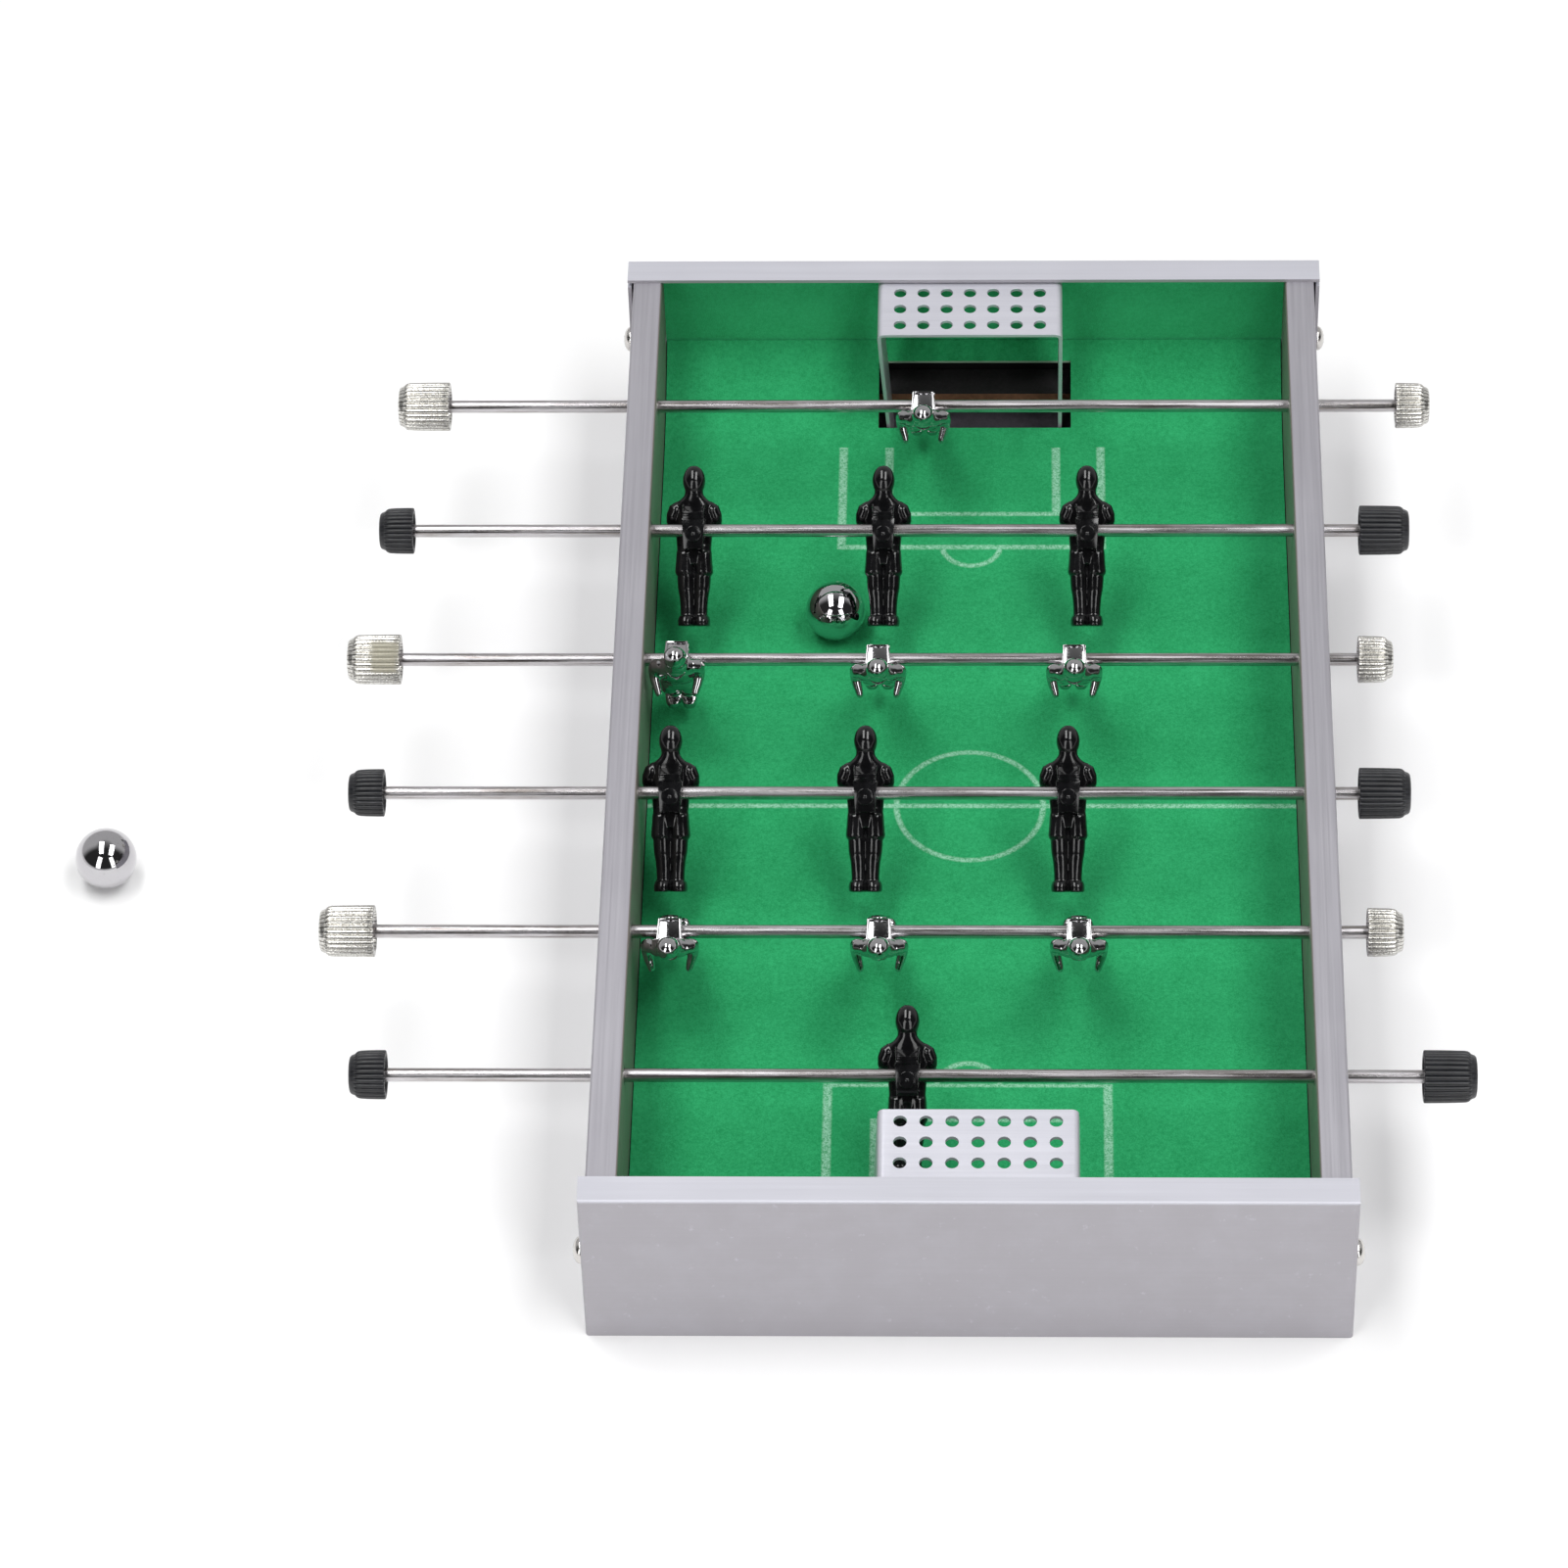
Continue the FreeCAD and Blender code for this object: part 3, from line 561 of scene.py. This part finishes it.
def organic_figure():
    """Head, torso, limbs and shoes, run together into one moulded form.

    A row of a table is half width, back, front and height in millimetres from the rod's
    axis, and a leg's row starts with how far its middle stands to the side.
    """
    bm = bmesh.new()
    head = []
    head_y, head_z, head_tall, head_half, head_deep = 1.9, 10.5, 3.35, 2.4, 2.3
    head_rings, pole = 15, 0.35
    for i in range(head_rings):
        turn = math.pi * (i + pole) / (head_rings - 1 + 2 * pole)
        z = head_z - head_tall * math.cos(turn)
        wide = math.sin(turn) ** 0.9 * (1.0 - 0.1 * max(0.0, math.cos(turn)))
        head.append(oval(0, head_half * wide, head_y - head_deep * wide, head_y + head_deep * wide, z, 2.0))
    skin(bm, head)
    torso = [
        (1.9, 0.3, 3.6, 9.0),
        (1.95, 0.3, 3.7, 7.8),
        (2.5, 0.35, 3.9, 7.0),
        (3.5, 0.4, 4.3, 6.2),
        (4.2, 0.4, 4.7, 5.2),
        (4.3, 0.5, 5.0, 3.2),
        (4.0, 0.6, 4.9, 0.5),
        (3.75, 0.7, 4.7, -2.0),
        (3.65, 0.7, 4.8, -3.6),
    ]
    skin(bm, [oval(0, half, back, front, z) for half, back, front, z in torso])
    hips = [(3.6, 0.6, 5.0, -3.0), (3.7, 0.5, 5.3, -5.0), (3.6, 0.6, 5.2, -7.0)]
    skin(bm, [oval(0, half, back, front, z, 2.8) for half, back, front, z in hips])
    trouser = [
        (1.9, 1.85, 0.4, 5.2, -4.4),
        (1.98, 1.9, 0.3, 5.4, -6.6),
        (2.05, 2.0, 0.25, 5.5, -8.6),
        (2.0, 1.85, 0.5, 5.2, -9.2),
    ]
    leg = [
        (1.75, 1.85, 0.6, 4.8, -8.8),
        (1.7, 1.82, 0.6, 4.6, -10.6),
        (1.66, 1.76, 0.6, 4.4, -12.0),
        (1.62, 1.7, 0.55, 4.35, -12.6),
        (1.5, 1.56, 0.8, 4.1, -14.0),
        (1.42, 1.46, 1.0, 3.9, -16.0),
        (1.4, 1.44, 1.0, 4.0, -17.6),
        (1.5, 1.5, 0.7, 4.5, -18.5),
    ]
    shoe = [
        (1.62, 1.56, 0.2, 5.8, -17.9),
        (1.68, 1.76, -0.3, 6.35, -18.8),
        (1.68, 1.76, -0.35, 6.45, -19.7),
        (1.66, 1.65, -0.2, 6.3, -20.1),
    ]
    # Aside, forward, height and radius.
    arm = [
        (3.1, 2.4, 5.2, 1.3),
        (4.0, 2.3, 4.5, 1.5),
        (4.5, 2.4, 3.3, 1.4),
        (4.65, 2.9, 2.2, 1.25),
        (4.6, 4.0, 1.5, 1.12),
        (4.3, 5.4, 1.15, 1.0),
        (3.95, 6.6, 0.95, 0.86),
        (3.8, 7.3, 0.85, 0.76),
    ]
    for side in (-1, 1):
        for limb, power in ((trouser, 2.6), (leg, 2.4), (shoe, 2.6)):
            skin(bm, [oval(side * x, half, back, front, z, power) for x, half, back, front, z in limb])
        tube(bm, [(side * x, y, z, radius) for x, y, z, radius in arm])
    blank = to_mesh("figure_blank", bm)
    remesh = {"mode": "VOXEL", "voxel_size": 0.00019, "use_smooth_shade": True}
    return evaluated("figure", blank, ("REMESH", remesh), ("SMOOTH", {"factor": 0.5, "iterations": 3}))


def slab(bm, lower, upper):
    """A closed block between two outlines of four (x, y, z) corners."""
    low = [bm.verts.new(Vector(corner) * MM) for corner in lower]
    high = [bm.verts.new(Vector(corner) * MM) for corner in upper]
    faces = [low[::-1], high] + [(low[i], low[(i + 1) % 4], high[(i + 1) % 4], high[i]) for i in range(4)]
    for corners in faces:
        bm.faces.new(corners)


def clamp_block():
    """The block on a player's back: a rimmed plate over a tapered clamp, with a round boss."""
    bm = bmesh.new()

    def level_corners(half, front, back, z):
        return [(-half, front, z), (half, front, z), (half, back, z), (-half, back, z)]

    plate_base, plate_front, plate_back = 2.4, 1.4, -3.05
    corners = [(-2.6, plate_front), (2.6, plate_front), (2.2, plate_back), (-2.2, plate_back)]
    rises = (5.6, 5.6, 3.35, 3.35)
    slab(bm, [(x, y, plate_base) for x, y in corners], [(x, y, z) for (x, y), z in zip(corners, rises)])
    for side in (-1, 1):
        lower = [(2.2, 1.4, 5.0), (2.6, 1.4, 5.0), (2.25, -3.1, 3.0), (1.85, -3.1, 3.0)]
        lower = [(side * x, y, z) for x, y, z in lower]
        slab(bm, lower, [(x, y, z + (1.0 if y > 0 else 0.85)) for x, y, z in lower])
    slab(bm, level_corners(2.2, -2.65, -3.1, 3.0), level_corners(2.2, -2.65, -3.1, 3.85))
    foot = [(-2.05, 1.5, -4.1), (2.05, 1.5, -4.1), (2.05, -2.75, -3.9), (-2.05, -2.75, -3.9)]
    slab(bm, foot, level_corners(2.4, 1.5, -2.85, 2.55))
    bmesh.ops.recalc_face_normals(bm, faces=bm.faces)
    boss_z = -0.8
    boss = []
    for y, radius in ((-2.6, 1.75), (-2.95, 1.75), (-3.05, 1.65), (-3.0, 1.4), (-2.98, 0.35), (-3.06, 0.2)):
        boss.append([Vector((radius * c, y, boss_z + radius * s)) * MM for c, s in circle(40)])
    skin(bm, boss)
    block = to_mesh("block_blank", bm)
    bevel = {"width": 0.00016, "segments": 3, "limit_method": "ANGLE", "angle_limit": math.radians(28)}
    return evaluated("block", block, ("BEVEL", bevel))


def shirt_collar():
    """The raised edge of the shirt's neck, down to a point on the chest."""
    bm = bmesh.new()
    for side in (-1, 1):
        path = [(side * 2.35, 2.6, 6.6), (side * 1.9, 3.95, 6.1), (side * 1.1, 4.75, 5.2), (0.0, 5.1, 4.2)]
        tube(bm, [(*point, 0.24) for point in path], 10)
    return to_mesh("collar", bm)


def player_mesh(name, material):
    """One team's player, standing upright about the rod's axis."""
    whole = bmesh.new()
    for mesh in (FIGURE, BLOCK, shirt_collar()):
        whole.from_mesh(mesh)
    return dressed(to_mesh(name, whole, 40), material)


FIGURE = organic_figure()
BLOCK = clamp_block()
PLAYER = {team: player_mesh(f"{team}_figure", MATERIALS[f"{team}_player"]) for team in ("black", "chrome")}


def add_player(node, body, axis_y, axis_z):
    """A player at its place on the rod: black ones face the far goal, chrome ones the near goal."""
    low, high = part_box(node)
    team = node.split("_")[0]
    lean = math.radians(LEAN[node])
    turn = Matrix.Rotation(-lean, 4, "X")
    if team == "chrome":
        turn = Matrix.Rotation(lean, 4, "X") @ Matrix.Rotation(math.pi, 4, "Z")
    place = Matrix.Translation(((low.x + high.x) / 2, axis_y, axis_z)) @ turn
    finished(PLAYER[team], place, body, node)


# ---- knobs ------------------------------------------------------------------

STEPS_PER_RIB = 12


def knob_mesh(name, length, radius, start):
    """A ribbed knob along +X from its rod end: hollow rim, ribs with rounded tips and a domed end."""
    depth = 0.42
    bore, middle = 1.36, 0.5
    # Along the knob, out from its axis, and how deep the grooves are there.
    profile = [
        (1.0, bore, 0.0),
        (1.0, radius - 1.3, 0.0),
        (start + 0.1, radius - 1.1, 0.0),
        (start, radius - 1.0, 0.0),
        (start, radius - 0.3, 0.4),
        (start + 0.08, radius - 0.06, 0.9),
        (start + 0.2, radius, 1.0),
        (1.6, radius, 1.0),
        (length * 0.5, radius - 0.04, 1.0),
        (length - 2.3, radius - 0.12, 1.0),
        (length - 1.8, radius - 0.22, 0.95),
        (length - 1.5, radius - 0.36, 0.8),
        (length - 1.28, radius - 0.56, 0.45),
        (length - 1.15, radius - 0.72, 0.12),
        (length - 0.9, radius - 0.82, 0.0),
        (length - 0.4, radius - 1.02, 0.0),
        (length - 0.12, radius - 1.35, 0.0),
        (length, radius - 1.9, 0.0),
        (length - 0.05, radius - 2.6, 0.0),
        (length - 0.05, middle, 0.0),
    ]
    bm = bmesh.new()
    rings = []
    for along, reach, share in profile:
        ring = []
        for i, (c, s) in enumerate(circle(RIBS * STEPS_PER_RIB)):
            across = 2 * (i % STEPS_PER_RIB) / STEPS_PER_RIB - 1
            r = reach - depth * share * abs(across) ** 2.6
            ring.append(Vector((along, r * c, r * s)) * MM)
        rings.append(ring)
    skin(bm, rings)
    return to_mesh(name, bm, 50)


def add_knob(node, body):
    """A knob in the CAD node's box; a black handle keeps a small step at the rod."""
    step = 0.6
    low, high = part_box(node)
    slot = SLOT_OF[node]
    worn = node == "chrome_midfield_handle"
    stepped = slot == "black_knob" and node.endswith("_handle")
    length, radius = (high.x - low.x) / MM, (high.z - low.z) / 2 / MM
    mesh = knob_mesh(f"{node}_ribbed", length, radius, step if stepped else 0.0)
    middle = (low + high) / 2
    on_left = middle.x < 0
    place = Matrix.Translation((high.x if on_left else low.x, middle.y, middle.z))
    if on_left:
        place = place @ Matrix.Rotation(math.pi, 4, "Z")
    finished(dressed(mesh, MATERIALS["chrome_knob_worn" if worn else slot]), place, body, node)


for body in frame["bodies"]:
    if not body.endswith("_line"):
        continue
    members = RECORD["behaviour"]["bodies"][body]
    rod_low, rod_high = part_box(next(node for node in members if node.endswith("_rod")))
    axis = (rod_low + rod_high) / 2
    for node in members:
        if "_man" in node:
            add_player(node, body, axis.y, axis.z)
        elif node.endswith(("_handle", "_end_button")):
            add_knob(node, body)


# ---- goal hoods -------------------------------------------------------------


def hood_outline(centre, half, top, bottom, sheet=0.8, bend=1.5):
    """The bent strip seen from the front: outside edge one way, inside edge back."""
    steps = 8

    def half_loop(reach, height, radius):
        points = [(centre - reach, bottom)]
        for corner, start in ((centre - reach + radius, math.pi), (centre + reach - radius, math.pi / 2)):
            for i in range(steps + 1):
                angle = start - math.pi / 2 * i / steps
                points.append((corner + radius * math.cos(angle), height - radius + radius * math.sin(angle)))
        points.append((centre + reach, bottom))
        return points

    outer = half_loop(half, top, bend)
    inner = half_loop(half - sheet, top - sheet, bend - sheet)
    return outer + inner[::-1]


def prism(bm, outline, y0, y1):
    """A closed outline of (x, z) points drawn out from y0 to y1."""
    front = [bm.verts.new(Vector((x, y0, z)) * MM) for x, z in outline]
    back = [bm.verts.new(Vector((x, y1, z)) * MM) for x, z in outline]
    count = len(outline)
    bm.faces.new(front)
    bm.faces.new(back[::-1])
    for i in range(count):
        j = (i + 1) % count
        bm.faces.new((front[j], front[i], back[i], back[j]))


def hood_cutter(centre, half, top, bottom, sign, hole_row):
    """The drills for the roof's holes and the wedges that trim the cheeks front and back."""
    columns, rows, pitch, radius = 7, 3, 5.03, 1.32
    trim_back, trim_foot, trim_top, foot_z = 123.0, 111.8, 109.5, 9.9
    before, beyond = 100, 133
    bm = bmesh.new()
    for column in range(columns):
        for row in range(rows):
            x = centre + pitch * (column - columns // 2)
            y = sign * hole_row + pitch * (row - rows // 2)
            ring = [(x + radius * c, y + radius * s) for c, s in circle(36)]
            skin(bm, [[Vector((px, py, z)) * MM for px, py in ring] for z in (top - 3, top + 3)])
    wedges = (
        [(trim_back, bottom - 1), (beyond, bottom - 1), (beyond, top - 1.9), (trim_back, top - 1.9)],
        [(before, bottom - 1), (trim_foot, bottom - 1), (trim_foot, foot_z), (trim_top, top - 1.0),
         (before, top - 1.0)],
    )
    for side in (-1, 1):
        x0, x1 = sorted((centre + side * (half - 2.2), centre + side * (half + 1)))
        for corners in wedges:
            skin(bm, [[Vector((x, sign * y, z)) * MM for y, z in corners] for x in (x0, x1)])
    return bm


def less_cutter(name, blank, cutter, *more):
    """A mesh with a cutter taken out of it, and any further modifiers applied."""
    tool = bpy.data.objects.new(f"{name}_cutter", to_mesh(f"{name}_cutter", cutter))
    bpy.context.scene.collection.objects.link(tool)
    boolean = {"operation": "DIFFERENCE", "solver": "EXACT", "use_self": True, "object": tool}
    mesh = evaluated(name, blank, ("BOOLEAN", boolean), *more)
    bpy.data.objects.remove(tool)
    return mesh


def goal_hood(end, sign, hole_row, left_lean, roof_rise):
    """A hood with bent corners, drilled roof and trimmed cheeks; the left cheek stands at a lean."""
    node = f"{end}_goal_hood"
    low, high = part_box(node)
    low, high = low / MM, high / MM
    centre, half = (low.x + high.x) / 2, (high.x - low.x) / 2
    front, back = (low.y, high.y) if sign > 0 else (high.y, low.y)
    top, bottom = high.z, low.z
    roof_back, roof_depth, roof_zone = 128.0, 20.0, 3.0
    cheek_zone, shoulder, bow = 2.0, top - 1.0, 1.1
    largest_smooth, square_on = 1.2e-4, 0.999
    blank = bmesh.new()
    prism(blank, hood_outline(centre, half, top, bottom), front, back)
    cutter = hood_cutter(centre, half, top, bottom, sign, hole_row)
    bevel = {"width": 0.00007, "segments": 1, "limit_method": "ANGLE", "angle_limit": math.radians(40)}
    mesh = less_cutter(node, to_mesh(f"{node}_blank", blank), cutter, ("BEVEL", bevel))
    for vertex in mesh.vertices:
        x, y, z = vertex.co / MM
        if x < centre - half + cheek_zone and z < shoulder:
            vertex.co.x += left_lean * ((shoulder - z) / (shoulder - bottom)) ** bow * MM
        if z > top - roof_zone:
            vertex.co.z += roof_rise * max(0.0, (roof_back - abs(y)) / roof_depth) * MM
    mesh.shade_flat()
    for polygon in mesh.polygons:
        slanting = max(abs(c) for c in polygon.normal) < square_on
        polygon.use_smooth = polygon.area < largest_smooth and slanting
    mesh.set_sharp_from_angle(angle=math.radians(24))
    finished(dressed(mesh, MATERIALS["hood_sheet"]), Matrix.Identity(4), "table", node)


goal_hood("far", 1, 118.2, 2.3, 0.0)
goal_hood("near", -1, 116.7, -1.9, 1.0)


# ---- screws -----------------------------------------------------------------


def pan_screws():
    """Four domed heads with a cross recess, on the cap's flaps."""
    node = "cap_screws"
    low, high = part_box(node)
    low, high = low / MM, high / MM
    flap, edge_margin, near_rise = 75.0, 2.5, 2.0
    head_high = high.x - flap
    profile = ((-0.3, 1.3), (0.0, 2.7), (0.25, 2.7), (0.7, 2.55), (1.1, 2.18), (1.4, 1.62), (1.6, 0.86))
    slot = [(-1.3, -0.22), (1.3, -0.22), (1.3, 0.22), (-1.3, 0.22)]
    slot_turns, slot_floor, slot_end = (20, 110), 0.35, 1.4
    heads, cutter = bmesh.new(), bmesh.new()
    for side in (-1, 1):
        for y in (low.y + edge_margin, high.y - edge_margin):
            z = (low.z + high.z) / 2 + (near_rise if y < 0 else 0.0)

            def ring(x, outline):
                return [Vector((x, y + across, z + up)) * MM for across, up in outline]

            skin(heads, [
                ring(side * flap + side * along, [(radius * c, radius * s) for c, s in circle(40)])
                for along, radius in profile
            ])
            ends = sorted(side * flap + side * head_high * share for share in (slot_floor, slot_end))
            for angle in slot_turns:
                c, s = math.cos(math.radians(angle)), math.sin(math.radians(angle))
                turned = [(u * c - v * s, u * s + v * c) for u, v in slot]
                skin(cutter, [ring(x, turned) for x in ends])
    mesh = less_cutter("screws", to_mesh("screws_blank", heads), cutter)
    mesh.shade_smooth()
    mesh.set_sharp_from_angle(angle=math.radians(35))
    finished(dressed(mesh, MATERIALS["screw_steel"]), Matrix.Identity(4), "table", node)


pan_screws()


# ---- stage, light and camera ------------------------------------------------


def stage_floor():
    """A wide pale sheet, a hair under the table so that no two faces share a plane."""
    drop = 0.00005
    bm = bmesh.new()
    bmesh.ops.create_grid(bm, x_segments=8, y_segments=8, size=8.0)
    for vertex in bm.verts:
        vertex.co.z = -drop
    mesh = bpy.data.meshes.new("floor")
    bm.to_mesh(mesh)
    bm.free()
    shader = Shader("floor_paper", Roughness=0.9, Specular_IOR_Level=0.1)
    shader.colour(shader.mix(shader.noise(30.0, 3.0), (0.9, 0.9, 0.9), (0.915, 0.915, 0.915)))
    floor = bpy.data.objects.new("floor", dressed(mesh, shader.material))
    bpy.context.scene.collection.objects.link(floor)


def softbox(name, place, width, length, power, long_axis):
    """A rectangular light aimed at the table, its length along the axis given."""
    light = bpy.data.lights.new(name, "AREA")
    light.shape = "RECTANGLE"
    light.size, light.size_y = width, length
    light.energy = power
    lamp = bpy.data.objects.new(name, light)
    bpy.context.scene.collection.objects.link(lamp)
    place, target = Vector(place), Vector((0.0, 0.0, 0.02))
    back = (place - target).normalized()
    side = Vector(long_axis).cross(back).normalized()
    axes = Matrix((side, back.cross(side), back)).transposed().to_4x4()
    lamp.matrix_world = Matrix.Translation(place) @ axes
    lamp.visible_camera = False


def studio():
    """Two long boxes overhead, two upright ones in front, and a dim room with a bright horizon."""
    along_pitch, upright = (0, 1, 0), (0, 0, 1)
    softbox("overhead_left", (-0.47, -0.01, 1.5), 0.42, 1.35, 13.0, along_pitch)
    softbox("overhead_right", (0.56, -0.2, 1.5), 0.46, 1.25, 13.0, along_pitch)
    softbox("front_left", (-0.66, -1.2, 0.72), 0.42, 1.15, 5.0, upright)
    softbox("front_right", (0.64, -1.2, 0.72), 0.42, 1.15, 5.0, upright)
    world = bpy.data.worlds.new("studio")
    world.use_nodes = True
    bpy.context.scene.world = world
    room = Graph(world.node_tree)
    _, forward, up = room.axes(room.coordinates["Generated"])
    behind = room.ramp(forward, -0.15, 0.3, 0.0, 0.5)
    behind = room.math("MULTIPLY", behind, room.ramp(up, 0.8, 0.98, 1.0, 0.3))
    horizon = room.ramp(up, 0.03, 0.16, 0.85, 0.0)
    glow = room.math("ADD", room.math("MAXIMUM", behind, horizon), 0.03)
    background = room.tree.nodes["Background"]
    room.plug(background.inputs["Color"], glow)
    background.inputs["Strength"].default_value = 1.0


def camera():
    """A long lens, in front of the near end and well above it."""
    place = Vector((7.672, -970.573, 1061.222)) * MM
    yaw, down, roll = (math.radians(a) for a in (-2.738, 47.085, -1.977))
    ahead = Vector((math.sin(yaw) * math.cos(down), math.cos(yaw) * math.cos(down), -math.sin(down)))
    right = ahead.cross(Vector((0, 0, 1))).normalized()
    up = right.cross(ahead)
    across = right * math.cos(roll) + up * math.sin(roll)
    upward = up * math.cos(roll) - right * math.sin(roll)
    lens = bpy.data.cameras.new("camera")
    lens.lens, lens.sensor_width = 158.2, 36.0
    lens.clip_start, lens.clip_end = 0.05, 40.0
    view = bpy.data.objects.new("camera", lens)
    bpy.context.scene.collection.objects.link(view)
    axes = Matrix((across, upward, -ahead)).transposed().to_4x4()
    view.matrix_world = Matrix.Translation(place) @ axes
    bpy.context.scene.camera = view


stage_floor()
studio()
camera()
bpy.context.scene.view_settings.view_transform = "Standard"
